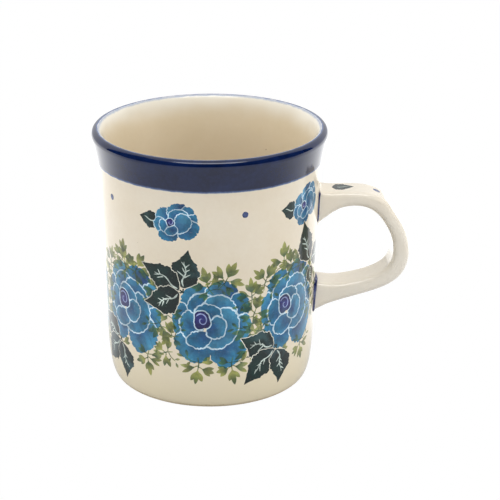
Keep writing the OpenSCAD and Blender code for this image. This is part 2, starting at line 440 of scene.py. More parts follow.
def leaf(base, tip, width, seed, teeth=6, bend=0.10, veins=3, step=0.32):
    """One leaf from its stalk end to its point: a broad blade with a few shallow
    lobes, drawn out to a sharp tip, and a pale rib with side veins."""
    base, tip = np.array(base, float), np.array(tip, float)
    L = np.hypot(*(tip - base))
    ux = (tip - base) / L
    uy = np.array([-ux[1], ux[0]])
    t = np.linspace(0, 1, 110)
    rs = rng(seed)
    drawn = rs.uniform(0.85, 1.15)
    prof = np.interp(t, (0, .05, .13, .25, .38, .50, .62, .73, .83, .91, .96, 1.0),
                     (.06, .38, .68, .93, 1.0, .95, .78, .53 * drawn, .30 * drawn, .14 * drawn, .07, 0.0))
    ker = np.hanning(13) / np.hanning(13).sum()
    prof = np.convolve(np.pad(prof, 6, mode="edge"), ker, mode="valid")

    def side(sgn, k):
        ph = t * teeth * 0.8 + 0.37 * k + rs.uniform(0, 0.5)
        tooth = (0.5 - np.abs(np.cos(np.pi * ph)) ** 1.4) * np.clip(np.sin(np.pi * np.clip(t / 0.86, 0, 1)) * 2.0, 0, 1) ** 2
        tooth = tooth + 0.30 * np.sin(2 * np.pi * (t * teeth * 2.1 + k * 0.3)) * np.clip(np.sin(np.pi * np.clip(t / 0.9, 0, 1)), 0, 1)
        y = width / 2 * prof * (0.96 + 0.06 * rs.uniform(-1, 1)) + tooth * width * 0.060
        return sgn * np.maximum(y, 0.02 * np.sin(np.pi * t))

    def world(x, y):
        x = np.asarray(x, float)
        off = bend * L * np.sin(np.pi * np.clip(x, 0, 1)) * 0.6
        return base + np.outer(x * L, ux) + np.outer(y + off, uy)

    pts = resample(np.vstack([world(t, side(1, 0)), world(t, side(-1, 1))[::-1]]), step)
    out = [shape(grow(pts, 0.26), (222, 220, 206), kind="line"),
           shape(pts, LEAF_A, LEAF_B, base + 0.62 * (tip - base), L * 0.55)]
    if veins:
        x1 = 0.66 + rs.uniform(-.05, .05)
        rib = world(np.linspace(0.04, x1, 24), 0.05 * width * np.sin(np.linspace(0, 8, 24)))
        out.append(shape(stroke(rib, 0.58, 0.18, 0.3, seed + 1), VEIN, kind="line"))
        for i in range(veins):
            for sgn in (1, -1):
                if rs.uniform() < 0.12:
                    continue
                x0 = 0.26 + (0.36 / veins) * (i + 0.40 * (sgn > 0)) + rs.uniform(-.03, .03)
                xs = np.linspace(0, 1, 8)
                reach = width * (0.15 + 0.08 * rs.uniform(-1, 1)) * (1 - 0.25 * i / veins)
                path = world(x0 + 0.11 * xs, sgn * reach * xs ** 1.1)
                out.append(shape(stroke(path, 0.52, 0.16, 0.3, seed + 5 + i), VEIN, kind="line"))
    else:
        rib = world(np.linspace(0.25, 0.75, 14), 0.05 * width * np.sin(np.linspace(0, 5, 14)))
        out.append(shape(stroke(rib, 0.46, 0.14, 0.3, seed + 1), VEIN, kind="line"))
    return out


def leaves(at, spec, seed):
    """Leaves that meet at one stalk: spec rows are (tip x, tip y, width, bend)."""
    out = []
    at = np.array(at, float)
    for i, (tx, ty, w, bend) in enumerate(spec):
        tip = at + np.array([tx, ty])
        d = np.array([tx, ty]) / math.hypot(tx, ty)
        out.append(shape(stroke([at - d * 0.5, at + d * 0.8, at + d * 2.2], 0.42, 0.62, 0.3), LEAF_A))
        out += leaf(at + d * 1.5, tip, w, seed + 11 * i, teeth=5 + (i % 2), bend=bend)
    return out


GID = [0]


def sprig(at, size, turn, seed, flip=1, op=0.94):
    """A feathery sprig round a node: brushed leaflets split into pointed fingers,
    and a thin twig or two that end in loose dashes."""
    out = []
    rs = rng(seed)
    GID[0] += 1
    g = GID[0]
    S = size

    def put(pts, root, tip, root_dark=True):
        a = mixc(SPRIG_B, (60, 92, 34), rs.uniform(0, .7))
        b = mixc(SPRIG_A, (166, 166, 88), rs.uniform(0, .6))
        r = place([root if root_dark else tip], at, 1, turn, flip)[0]
        out.append(shape(place(pts, at, 1, turn, flip), a, b, r, np.hypot(*(np.array(tip) - np.array(root))) * 1.05,
                         op=op, kind="sprig", gid=g))

    def lance(root, ang, ln, wd):
        """One brushed finger, fullest past its middle."""
        u = np.linspace(0, 1, 9)
        y = wd / 2 * np.sin(np.pi * u ** 1.15) ** 0.8
        y[0], y[-1] = 0.16 * wd, 0.03
        p = np.vstack([np.column_stack([u * ln, y]), np.column_stack([u * ln, -y])[::-1]])
        c, s = math.cos(ang), math.sin(ang)
        return np.column_stack([root[0] + p[:, 0] * c - p[:, 1] * s, root[1] + p[:, 0] * s + p[:, 1] * c])

    def branch(root, deg, stalk, ln, wd, fingers, curl=0.0):
        """A short stalk that opens into a tuft of two or three fingers."""
        dark = rs.uniform() < 0.65
        ang = math.radians(deg + rs.uniform(-9, 9))
        root = np.array(root, float)
        d = np.array([math.cos(ang), math.sin(ang)])
        n = np.array([-d[1], d[0]])
        hub = root + stalk * d
        put(stroke([root, root + 0.55 * stalk * d + 0.10 * stalk * n * curl, hub + 0.06 * S * d], 0.34, 0.44, 0.4), root, hub)
        tip = hub + ln * d
        for k in range(fingers):
            u = 0.0 if fingers == 1 else 2 * k / (fingers - 1) - 1
            da = ang + curl * 0.35 + u * (0.50 + rs.uniform(-.08, .08)) * (0.62 if fingers == 2 else 1.0)
            l2 = ln * (1 - 0.22 * abs(u) * (fingers > 2)) * rs.uniform(.88, 1.10)
            put(lance(hub, da, l2, wd * rs.uniform(.85, 1.20)), hub, tip, dark)

    def twig(root, deg, ln, side):
        ang = math.radians(deg + rs.uniform(-10, 10))
        d = np.array([math.cos(ang), math.sin(ang)])
        n = np.array([-d[1], d[0]]) * side
        root = np.array(root, float)
        p = [root, root + 0.5 * ln * d + 0.14 * ln * n, root + ln * d + 0.06 * ln * n]
        put(stroke(p, 0.30, 0.42, 0.4), root, p[2])
        for q, off in ((0.50, 66), (0.78, -52), (1.0, 14)):
            r0 = root + q * ln * d + 0.10 * ln * n
            a2 = ang + math.radians(off * side + rs.uniform(-12, 12))
            r0 = r0 + 0.06 * S * np.array([math.cos(a2), math.sin(a2)])
            l2 = S * rs.uniform(.17, .25)
            put(lance(r0, a2, l2, S * 0.095), r0, r0 + l2 * np.array([math.cos(a2), math.sin(a2)]), rs.uniform() < .5)

    put(stroke([(0.06 * S, -0.34 * S), (0.0, -0.12 * S), (0.0, 0.04 * S)], 0.34, 0.50, 0.4), (0, 0), (0, -0.34 * S))
    branch((0, 0), 86, 0.13 * S, 0.50 * S, 0.155 * S, 3)
    branch((0, -0.02 * S), 150, 0.15 * S, 0.42 * S, 0.145 * S, 3, 0.6)
    branch((0, -0.06 * S), 26, 0.15 * S, 0.42 * S, 0.145 * S, 2, -0.6)
    branch((0, -0.14 * S), 202, 0.12 * S, 0.32 * S, 0.13 * S, 2, 0.5)
    twig((0.02 * S, -0.16 * S), -20, 0.42 * S, 1)
    return out


def dot(at, r, seed):
    t = np.linspace(0, 2 * np.pi, 22, endpoint=False)
    p = np.column_stack([at[0] + r * np.cos(t), at[1] + r * 1.04 * np.sin(t)])
    return [shape(ragged(p, seed, 0.05, 0.34), DOT, (58, 72, 114), np.array(at), r)]


def wall_decor():
    """The garland round the wall, in the order in which it is stamped."""
    g = []
    rs = rng(77)
    # small roses with one leaf, and the dots between them
    for i, s in enumerate((-158.5, -109.5, -60.5, -11.2, 38.0)):
        v = (68.2, 67.6, 68.4, 67.9, 68.8)[i]
        g += leaf((s - 6.0, v - 0.8), (s - 13.2, v + 0.9), 6.4, 300 + i, teeth=4, bend=-0.06, veins=0)
        g += rose((s, v), 14.6, 12.8, 500 + 13 * i, turn=(24, 15, 22, 18, 26)[i], small=True)
    for i, (s, v) in enumerate(((-134, 71.0), (-85.5, 70.4), (-38.4, 71.2), (11.4, 70.7))):
        g += dot((s, v), 1.05, 40 + i)
    # the big roses
    roses = ((31.0, 34.0), (0.3, 32.0), (-31.0, 34.0), (-60.8, 32.4), (-91.2, 34.0), (-121.6, 32.2), (-151.6, 34.0))
    for i, (s, v) in enumerate(roses):
        g += rose((s, v), 26.8, 32.0, 900 + 29 * i, turn=(3, 0, -4, 2, -3, 3, 0)[i])
    # feathery sprigs round and over their edges
    cell = [  # (ds, v, size, turn, flip) seen from a rose's centre
        (-1.4, 46.6, 10.6, 24, 1), (5.0, 47.4, 10.6, -26, -1),
        (13.2, 41.2, 10.2, 10, -1), (15.6, 35.4, 10.0, -18, 1), (13.4, 28.4, 10.0, 196, 1),
        (-14.6, 27.6, 9.8, 78, 1), (-16.8, 20.4, 9.8, 120, -1),
        (-5.2, 15.8, 10.4, 176, 1), (7.0, 15.6, 10.4, -172, -1)]
    k = 0
    for i, (s, v) in enumerate(roses):
        more = [(19.0, 46.6, 10.6, -16, 1), (26.4, 51.4, 11.4, -8, -1)] if i in (1, 3, 5) else []
        for j, (ds, vv, sz, tr, fl) in enumerate(cell + more):
            k += 1
            dv = (v - 32.0) * (1.0 if vv > 40 else 0.5)
            g += sprig((s + ds + rs.uniform(-.8, .8), vv + dv + rs.uniform(-.6, .6)),
                       sz * rs.uniform(.94, 1.10), tr + rs.uniform(-12, 12), 1500 + k, fl)
    # dark leaf clusters, high and low in turn between the roses
    hi = ((2.0, 15.2, 11.0, .04), (-15.0, 8.4, 9.6, -.08), (-14.6, -5.6, 10.2, .16))
    lo = ((-14.0, 5.4, 11.0, .12), (-12.6, -12.4, 9.8, -.06), (1.6, -15.0, 9.4, .18))
    up = ((-5.6, 17.0, 11.0, .10), (1.4, -8.6, 6.4, .06), (13.4, 5.0, 9.6, -.10))
    for i, (s, v) in enumerate(((-9.2, 43.6), (42.6, 45.6), (-70.4, 44.2), (-131.0, 44.0))):
        g += leaves((s, v), up if i == 1 else hi, 700 + 31 * i)
    for i, (s, v) in enumerate(((24.4, 20.8), (-37.2, 19.8), (-98.0, 20.4), (-159.4, 20.2))):
        g += leaves((s, v), lo, 800 + 37 * i)
    return g
# ---------------------------------------------------------------------------
# Painted surfaces: the motif outlines are cut into the surface itself, so that
# the colours lie flush under one smooth glaze
# ---------------------------------------------------------------------------
CREAM_LIN = lin((219, 208, 188))


def blotch(x, y):
    """A smooth, repeatable unevenness of about +-1 across the painted colour."""
    return (np.sin(0.83 * x + 1.7 * np.sin(0.41 * y + 0.3)) * np.sin(0.71 * y - 1.3 * np.sin(0.37 * x))
            + 0.6 * np.sin(1.9 * x + 2.3 * y + 0.8 * np.sin(1.1 * y)) * np.sin(1.3 * y - 2.1 * x)) / 1.6


def triangulate(box, s_lines, v_lines, shapes, loop):
    """Cuts the rectangle box=(s0, v0, s1, v1) along every outline. Returns the
    points, the triangles and, for each triangle corner, a colour and a cover."""
    s0, v0, s1, v1 = box
    pts, edges, faces, owner = [], [], [], []

    def add(p):
        pts.append((float(p[0]), float(p[1])))
        return len(pts) - 1

    bot = [add((s, v0)) for s in s_lines]
    top = [add((s, v1)) for s in s_lines]
    lef = [bot[0]] + [add((s0, v)) for v in v_lines[1:-1]] + [top[0]]
    rig = [bot[-1]] + [add((s1, v)) for v in v_lines[1:-1]] + [top[-1]]
    for row in (bot, top, lef, rig):
        edges += list(zip(row[:-1], row[1:]))
    for s in s_lines[1:-1]:
        for v in v_lines[1:-1]:
            add((s, v))
    for k, sh in enumerate(shapes):
        p = sh["p"]
        for off in ((0, loop, -loop) if loop else (0,)):
            if p[:, 0].max() + off < s0 or p[:, 0].min() + off > s1:
                continue
            ids = [add((x + off, y)) for x, y in p]
            faces.append(ids)
            owner.append((k, off))
    res = delaunay_2d_cdt([Vector(p) for p in pts], edges, faces, 0, 1e-6, True)
    P = np.array([(v.x, v.y) for v in res[0]])
    tris, cover = [], [[] for _ in owner]
    for f, orig in zip(res[2], res[5]):
        c = P[list(f)].mean(0)
        if not (s0 < c[0] < s1 and v0 < c[1] < v1):
            continue
        for o in orig:
            cover[o].append(len(tris))
        tris.append(f)
    T = np.array(tris)
    e1, e2 = P[T[:, 1]] - P[T[:, 0]], P[T[:, 2]] - P[T[:, 0]]
    area = np.abs(e1[:, 0] * e2[:, 1] - e1[:, 1] * e2[:, 0]) / 2
    for o, (k, off) in enumerate(owner):     # an outline that crosses itself could flood the plane
        if cover[o] and area[cover[o]].sum() > 1.35 * abs(signed_area(shapes[k]["p"])) + 0.3:
            print("dropped an outline", k, shapes[k]["kind"])
            cover[o] = []
    rgb = np.tile(CREAM_LIN, (len(T), 3, 1))
    al = np.zeros((len(T), 3))
    order = sorted(range(len(owner)), key=lambda i: owner[i][0])
    gid, snap, snap_al = None, rgb, al
    for i in order:
        if not cover[i]:
            continue
        k, off = owner[i]
        sh = shapes[k]
        idx = np.array(cover[i])
        if sh["kind"] == "line":            # scratched lines show only on colour
            idx = idx[al[idx].max(1) > 0]
            if not len(idx):
                continue
        if sh["kind"] == "sprig" and sh["gid"] != gid:
            gid, snap, snap_al = sh["gid"], rgb.copy(), al.copy()
        q = P[T[idx]]
        a, b = lin(sh["a"]), lin(sh["b"])
        if sh["gc"] is not None:
            d = np.hypot(q[..., 0] - off - sh["gc"][0], q[..., 1] - sh["gc"][1]) / sh["gr"]
            t = np.clip(d + 0.20 * blotch(q[..., 0] - off, q[..., 1]), 0, 1)
            t = t * t * (3 - 2 * t)
        else:
            t = np.zeros(q.shape[:2])
        c = a + (b - a) * t[..., None]
        if sh["kind"] == "sprig":
            under = snap[idx]
            c2 = c * np.clip(under / CREAM_LIN, 0, 1) ** 0.55
            painted = snap_al[idx][..., None] > 0
            rgb[idx] = np.where(painted, under * 0.12 + c2 * 0.88, c)
            al[idx] = np.maximum(snap_al[idx], sh["op"])
        else:
            rgb[idx] = c
            al[idx] = sh["op"]
    # join the two sides of the loop
    keep = np.arange(len(P))
    if loop:
        left_ids = [i for i in range(len(P)) if abs(P[i, 0] - s0) < 1e-4 and v0 - 1e-4 <= P[i, 1] <= v1 + 1e-4]
        right_ids = [i for i in range(len(P)) if abs(P[i, 0] - s1) < 1e-4 and v0 - 1e-4 <= P[i, 1] <= v1 + 1e-4]
        lv = np.array([P[i, 1] for i in left_ids])
        for i in right_ids:
            j = int(np.argmin(np.abs(lv - P[i, 1])))
            if abs(lv[j] - P[i, 1]) < 2e-3:
                keep[i] = left_ids[j]
    T = keep[T]
    good = (T[:, 0] != T[:, 1]) & (T[:, 1] != T[:, 2]) & (T[:, 0] != T[:, 2])
    T, rgb, al = T[good], rgb[good], al[good]
    used = np.unique(T)
    back = -np.ones(len(P), int)
    back[used] = np.arange(len(used))
    return P[used], back[T], rgb, al


def painted_wall(name, shapes, n_seg, mat):
    """The decorated outside coat: a closed shell from the bare foot to the band."""
    s1 = RM * math.pi / 2
    s0 = s1 - LOOP
    a0, a1 = A_BARE, A_BAND
    v_of = lambda a: BAND_Z - (A_BAND - a)
    s_lines = np.linspace(s0, s1, n_seg + 1)
    a_lines = np.concatenate([np.linspace(a0, a0 + 9.0, 15)[:-1], np.linspace(a0 + 9.0, a1, 44)])
    v_lines = v_of(a_lines)
    P, T, rgb, al = triangulate((s0, v_lines[0], s1, v_lines[-1]), s_lines, v_lines, shapes, LOOP)
    a = P[:, 1] - BAND_Z + A_BAND
    r, z, nr, nz = at_arc(a)
    ph = P[:, 0] / RM
    verts = np.column_stack([r * np.sin(ph), -r * np.cos(ph), z])
    norms = np.column_stack([nr * np.sin(ph), -nr * np.cos(ph), nz])
    # hidden inner face and the two thin edges
    def ring(v):
        ids = np.where(np.abs(P[:, 1] - v) < 1e-5)[0]
        return list(ids[np.argsort(P[ids, 0])])
    ro_b, ro_t = ring(v_lines[0]), ring(v_lines[-1])
    rows = np.linspace(a1, a0, 14)
    V, N, F = list(map(tuple, verts)), list(map(tuple, norms)), [tuple(t) for t in T]
    inner = []
    for arc in rows:
        rr, zz, n1, n2 = at_arc(arc)
        dep = GLAZE * min(1.0, max(0.06, (arc - a0) / 1.6))
        ids = []
        for i in (ro_t if arc == rows[0] else ro_b if arc == rows[-1] else ro_t):
            p = P[i, 0] / RM
            ids.append(len(V))
            V.append(((rr - n1 * dep) * math.sin(p), -(rr - n1 * dep) * math.cos(p), zz - n2 * dep))
            N.append((-n1 * math.sin(p), n1 * math.cos(p), -n2))
        inner.append(ids)
    strips = [(ro_t, inner[0])] + list(zip(inner[:-1], inner[1:])) + [(inner[-1], ro_b)]
    for up, lo in strips:
        m = len(up)
        for i in range(m):
            j = (i + 1) % m
            F.append((up[i], up[j], lo[j], lo[i]))
    cols = []
    for k in range(len(T)):
        for c in range(3):
            cols.append((rgb[k, c, 0], rgb[k, c, 1], rgb[k, c, 2], al[k, c]))
    n_extra = len(F) - len(T)
    cols += [(CREAM_LIN[0], CREAM_LIN[1], CREAM_LIN[2], 0.0)] * (4 * n_extra)
    return make_object(name, V, F, N, cols, None, mat)
# ---------------------------------------------------------------------------
# The strap handle: the same centre line and section as the CAD part, run into
# the wall with a small fillet
# ---------------------------------------------------------------------------
(_, _, _), (strap_x, strap_y, strap_z) = mm_box("handle_glaze")
REACH, STRAP_T, ROOT_HI, ROOT_LO, EDGE_R = 69.0, 5.2, 12.0, 10.6, 2.0
STRAP_W = round(2 * strap_y, 1)
WALL_X = (NECK_R + HEEL_R) / 2
SPAN = REACH - STRAP_T / 2 - WALL_X
STATIONS = [(-0.28, 60.4, ROOT_HI + 4.0), (-0.05, 62.3, ROOT_HI + 1.2), (0.10, 63.2, 8.1), (0.27, 64.6, STRAP_T),
            (0.54, 64.9, STRAP_T - 0.4), (0.74, 62.4, STRAP_T + 0.7), (0.82, 58.8, STRAP_T - 0.8),
            (0.98, 52.0, STRAP_T), (1.02, 43.2, STRAP_T + 0.3), (0.94, 37.6, STRAP_T + 0.8),
            (0.74, 33.5, STRAP_T - 0.2), (0.27, 30.0, STRAP_T + 0.4), (0.07, 29.4, 8.4),
            (-0.10, 28.5, ROOT_LO + 1.8), (-0.30, 28.3, ROOT_LO + 3.2)]
KSEC = 72                       # points round the dense section
FILLET = 0.9


def handle_table():
    st = np.array([(WALL_X + a * SPAN, z, t) for a, z, t in STATIONS])
    rows = []
    for i in range(len(st) - 3):
        for k in range(30):
            t = k / 30
            rows.append(((1 - t) ** 3 * st[i] + (3 * t ** 3 - 6 * t * t + 4) * st[i + 1]
                         + (-3 * t ** 3 + 3 * t * t + 3 * t + 1) * st[i + 2] + t ** 3 * st[i + 3]) / 6)
    L = np.array(rows)
    d = np.gradient(L[:, :2], axis=0)
    d /= np.hypot(*d.T)[:, None]
    n = np.column_stack([-d[:, 1], d[:, 0]])
    tab = np.zeros((len(L), KSEC, 3))
    outw = np.zeros((len(L), KSEC, 3))
    for i, (cx, cz, t) in enumerate(L):
        r = min(EDGE_R, t / 2 - 0.25)
        w, h = STRAP_W / 2 - r, t / 2 - r
        # walk the rounded rectangle by arc length, starting in the middle of the inner face
        per = 4 * w + 4 * h + 2 * math.pi * r
        for k in range(KSEC):
            s = per * k / KSEC
            # legs: inner face (+y half), corner, +y side, corner, outer face, corner, -y side, corner, inner face
            legs = [w, math.pi * r / 2, 2 * h, math.pi * r / 2, 2 * w, math.pi * r / 2, 2 * h, math.pi * r / 2, w]
            j = 0
            while j < 8 and s > legs[j]:
                s -= legs[j]
                j += 1
            if j == 0:
                y, q, ny, nq = s, -h - r, 0, -1
            elif j == 1:
                a = -math.pi / 2 + s / r
                y, q, ny, nq = w + r * math.cos(a), -h + r * math.sin(a), math.cos(a), math.sin(a)
            elif j == 2:
                y, q, ny, nq = w + r, -h + s, 1, 0
            elif j == 3:
                a = s / r
                y, q, ny, nq = w + r * math.cos(a), h + r * math.sin(a), math.cos(a), math.sin(a)
            elif j == 4:
                y, q, ny, nq = w - s, h + r, 0, 1
            elif j == 5:
                a = math.pi / 2 + s / r
                y, q, ny, nq = -w + r * math.cos(a), h + r * math.sin(a), math.cos(a), math.sin(a)
            elif j == 6:
                y, q, ny, nq = -w - r, h - s, -1, 0
            elif j == 7:
                a = math.pi + s / r
                y, q, ny, nq = -w + r * math.cos(a), -h + r * math.sin(a), math.cos(a), math.sin(a)
            else:
                y, q, ny, nq = -w + s, -h - r, 0, -1
            # the glaze softens the flats into a faint crown
            crown = 0.10 * (1 - (y / (STRAP_W / 2)) ** 2) * (1 if q > 0 else 0.6) * (1 if abs(nq) > 0.5 else 0)
            q2 = q + crown * (1 if q > 0 else -1)
            tab[i, k] = (cx + n[i, 0] * q2, y, cz + n[i, 1] * q2)
            outw[i, k] = (n[i, 0] * nq, ny, n[i, 1] * nq)
    return tab, outw


def wall_gap(p):
    return np.hypot(p[..., 0], p[..., 1]) - wall_r(p[..., 2])


def handle_rows():
    """Rows of section points from the upper root on the wall to the lower one."""
    tab, outw = handle_table()
    agree("handle's reach", strap_x, float(tab[..., 0].max()))
    agree("handle's top", strap_z, float(tab[tab[..., 0] > NECK_R][:, 2].max()))
    agree("strap's width", STRAP_W, 2 * float(tab[..., 1].max()))
    n = len(tab)
    gap = wall_gap(tab)

    def cross(k, level, side):
        g = gap[:, k]
        rng_i = range(0, n - 1) if side == 0 else range(n - 1, 0, -1)
        for i in rng_i:
            j = i + 1 if side == 0 else i - 1
            if (g[i] - level) <= 0 < (g[j] - level):
                return i + (j - i) * (level - g[i]) / (g[j] - g[i])
        return 0.0

    def sample(arr, k, x):
        i = int(min(max(math.floor(x), 0), n - 2))
        f = x - i
        return arr[i, k] * (1 - f) + arr[i + 1, k] * f

    def fillet(side):
        rows = []
        for th in np.linspace(90, 0, 12):
            a = math.radians(th)
            level = FILLET * (1 - math.sin(a))
            off = FILLET * (1 - math.cos(a))
            row = []
            for k in range(KSEC):
                x = cross(k, level, side)
                p = sample(tab, k, x) + off * sample(outw, k, x)
                rad = math.hypot(p[0], p[1])
                dd = level - float(wall_gap(p))
                p = p + dd * np.array([p[0] / rad, p[1] / rad, 0])
                row.append(p)
            rows.append(np.array(row))
        # one more row just under the wall's surface, to close on
        deep = rows[0].copy()
        rad = np.hypot(deep[:, 0], deep[:, 1])
        deep[:, 0] -= 0.3 * deep[:, 0] / rad
        deep[:, 1] -= 0.3 * deep[:, 1] / rad
        return [deep] + rows

    up, lo = fillet(0), fillet(1)
    start = np.array([cross(k, FILLET, 0) for k in range(KSEC)])
    end = np.array([cross(k, FILLET, 1) for k in range(KSEC)])
    mid = []
    for lam in np.linspace(0, 1, 230)[1:-1]:
        mid.append(np.array([sample(tab, k, start[k] + lam * (end[k] - start[k])) for k in range(KSEC)]))
    rows = np.array(up + mid + lo[::-1])
    foot_up, foot_lo = up[1], lo[1]
    return rows, foot_up, foot_lo


def handle_shapes(u_len, per, u_at):
    """A small leaf and a dot stamped on the outer face of the upper arm. u runs
    along the strap in mm, w round it; w = per / 2 is the middle of the outer face."""
    mid = per / 2
    g = leaf((u_at(42.2), mid + 0.1), (u_at(50.0), mid - 0.6), 5.8, 61, teeth=4, bend=-0.05, veins=0, step=0.3)
    g += dot((u_at(57.8), mid - 0.7), 1.25, 62)
    return g


def painted_handle(name, mat):
    rows, foot_up, foot_lo = handle_rows()
    nr = len(rows)
    step = np.sqrt(((rows[1:] - rows[:-1]) ** 2).sum(-1)).mean(1)
    U = np.concatenate([[0], np.cumsum(step)])
    per = 32.0
    W = np.linspace(0, per, KSEC + 1)
    R = np.concatenate([rows, rows[:, :1]], axis=1)
    du = np.gradient(R, U, axis=0)
    ext = np.concatenate([rows[:, -1:], rows, rows[:, :2]], axis=1)
    dw = (ext[:, 2:] - ext[:, :-2])[:, :KSEC + 1]
    Nn = np.cross(dw, du)
    Nn /= np.maximum(np.sqrt((Nn ** 2).sum(-1))[..., None], 1e-9)
    # make sure that the normals point out of the strap
    c = rows.mean(1)
    if np.mean(((R - c[:, None]) * Nn).sum(-1)) < 0:
        Nn = -Nn

    def bil(arr, u, w):
        i = np.clip(np.searchsorted(U, u, "right") - 1, 0, nr - 2)
        fu = (u - U[i]) / (U[i + 1] - U[i])
        j = np.clip((w / per * KSEC).astype(int), 0, KSEC - 1)
        fw = w / per * KSEC - j
        fu, fw = fu[:, None], fw[:, None]
        return (arr[i, j] * (1 - fu) * (1 - fw) + arr[i + 1, j] * fu * (1 - fw)
                + arr[i, j + 1] * (1 - fu) * fw + arr[i + 1, j + 1] * fu * fw)

    # u at which the middle of the outer face reaches a given x on the upper arm
    top = int(nr * 0.36)
    xo = rows[:top, KSEC // 2, 0]
    u_at = lambda x: float(np.interp(x, xo, U[:top]))
    shapes = handle_shapes(U[-1], per, u_at)
    turned = []
    for sh in shapes:       # the cutter wants the looped side first
        sh = dict(sh)
        sh["p"] = sh["p"][:, ::-1].copy()[::-1]
        sh["gc"] = None if sh["gc"] is None else np.array([sh["gc"][1], sh["gc"][0]])
        turned.append(sh)
    w_lines = np.linspace(0, per, 49)
    fine = U[:14]
    u_lines = np.concatenate([fine[:-1:1], np.linspace(U[13], U[nr - 14], 150), U[nr - 13:]])
    P, T, rgb, al = triangulate((0, u_lines[0], per, u_lines[-1]), w_lines, u_lines, turned, per)
    w, u = P[:, 0], P[:, 1]
    V = bil(R, u, np.clip(w, 0, per - 1e-9))
    N = bil(Nn, u, np.clip(w, 0, per - 1e-9))
    F = [tuple(t) for t in T]
    V, N = [tuple(v) for v in V], [tuple(v) for v in N]
    # face direction: the first triangle's normal has to agree with the point normals
    t0 = np.array([V[i] for i in F[len(F) // 2]])
    fn = np.cross(t0[1] - t0[0], t0[2] - t0[0])
    flip = np.dot(fn, N[F[len(F) // 2][0]]) < 0
    if flip:
        F = [f[::-1] for f in F]
        rgb, al = rgb[:, ::-1], al[:, ::-1]
    cols = []
    for k in range(len(T)):
        for q in range(3):
            cols.append((rgb[k, q, 0], rgb[k, q, 1], rgb[k, q, 2], al[k, q]))
    # the two ends, hidden in the wall
    for v_end in (u_lines[0], u_lines[-1]):
        ids = [i for i in range(len(P)) if abs(P[i, 1] - v_end) < 1e-5]
        ids.sort(key=lambda i: P[i, 0])
        cen = len(V)
        V.append(tuple(np.mean([V[i] for i in ids], axis=0)))
        N.append((-1, 0, 0))
        first = v_end == u_lines[0]
        for a in range(len(ids)):
            b = (a + 1) % len(ids)
            f = (ids[b], ids[a], cen) if first != flip else (ids[a], ids[b], cen)
            F.append(f)
            cols += [(CREAM_LIN[0], CREAM_LIN[1], CREAM_LIN[2], 0.0)] * 3
    return make_object(name, V, F, N, cols, None, mat), foot_up, foot_lo


def bead(name, path, seed, mat, half, high, corner, low_end, top_end):
    """The luting bead round a root: a thin closed tube that follows the crease."""
    p = np.asarray(path, float)
    n_path, n_sec = 144, 14
    q = np.vstack([p, p[:1]])
    d = np.concatenate([[0], np.cumsum(np.sqrt((np.diff(q, axis=0) ** 2).sum(1)))])
    t = np.linspace(0, d[-1], n_path, endpoint=False)
    c = np.column_stack([np.interp(t, d, q[:, i]) for i in range(3)])
    for _ in range(3):
        c = (np.roll(c, 1, 0) + 2 * c + np.roll(c, -1, 0)) / 4
    rad = np.hypot(c[:, 0], c[:, 1])
    out = np.column_stack([c[:, 0] / rad, c[:, 1] / rad, np.zeros(n_path)])
    tan = np.roll(c, -1, 0) - np.roll(c, 1, 0)
    tan /= np.sqrt((tan ** 2).sum(1))[:, None]
    side = np.cross(tan, out)
    side /= np.sqrt((side ** 2).sum(1))[:, None]
    wid = half * (1 + wobble(n_path, seed, 0.40, 2, 7))
    hgt = high * (1 + wobble(n_path, seed + 1, 0.28, 2, 6))
    # the slip gathers at the front upper corner of a root
    at = np.clip((-c[:, 1] / 6.4 + (c[:, 2] - c[:, 2].mean()) / 6.0) / 1.7, 0, 1) ** 2
    hgt, wid = hgt * (1 + corner * at), wid * (1 + 0.5 * corner * at)
    # the brush lifts off under the root and on top of it, and the line thins out
    up = (c[:, 2] - (c[:, 2].max() + c[:, 2].min()) / 2) / ((c[:, 2].max() - c[:, 2].min()) / 2)
    up = up + wobble(n_path, seed + 2, 0.05, 3, 9)
    line = np.clip((up - low_end[0]) / (low_end[1] - low_end[0]), 0, 1) * np.clip((top_end[1] - up) / (top_end[1] - top_end[0]), 0, 1)
    line = line * line * (3 - 2 * line)
    hgt, wid = hgt * (0.30 + 0.70 * line), wid * (0.55 + 0.45 * line)
    rr = wall_r(c[:, 2])
    base = c + out * ((rr - rad) - 0.04)[:, None]
    V, N, F = [], [], []
    for i in range(n_path):
        for k in range(n_sec):
            a = 2 * math.pi * k / n_sec
            V.append(tuple(base[i] + side[i] * wid[i] * math.cos(a) + out[i] * hgt[i] * math.sin(a)))
            nn = side[i] * math.cos(a) / wid[i] + out[i] * math.sin(a) / hgt[i]
            N.append(tuple(nn / np.linalg.norm(nn)))
    for i in range(n_path):
        j = (i + 1) % n_path
        for k in range(n_sec):
            m = (k + 1) % n_sec
            F.append((i * n_sec + k, i * n_sec + m, j * n_sec + m, j * n_sec + k))
    f0 = np.array([V[i] for i in F[0]])
    if np.dot(np.cross(f0[1] - f0[0], f0[2] - f0[0]), N[0]) < 0:
        F = [f[::-1] for f in F]
    return make_object(name, V, F, N, None, {"line": np.repeat(line, n_sec)}, mat)
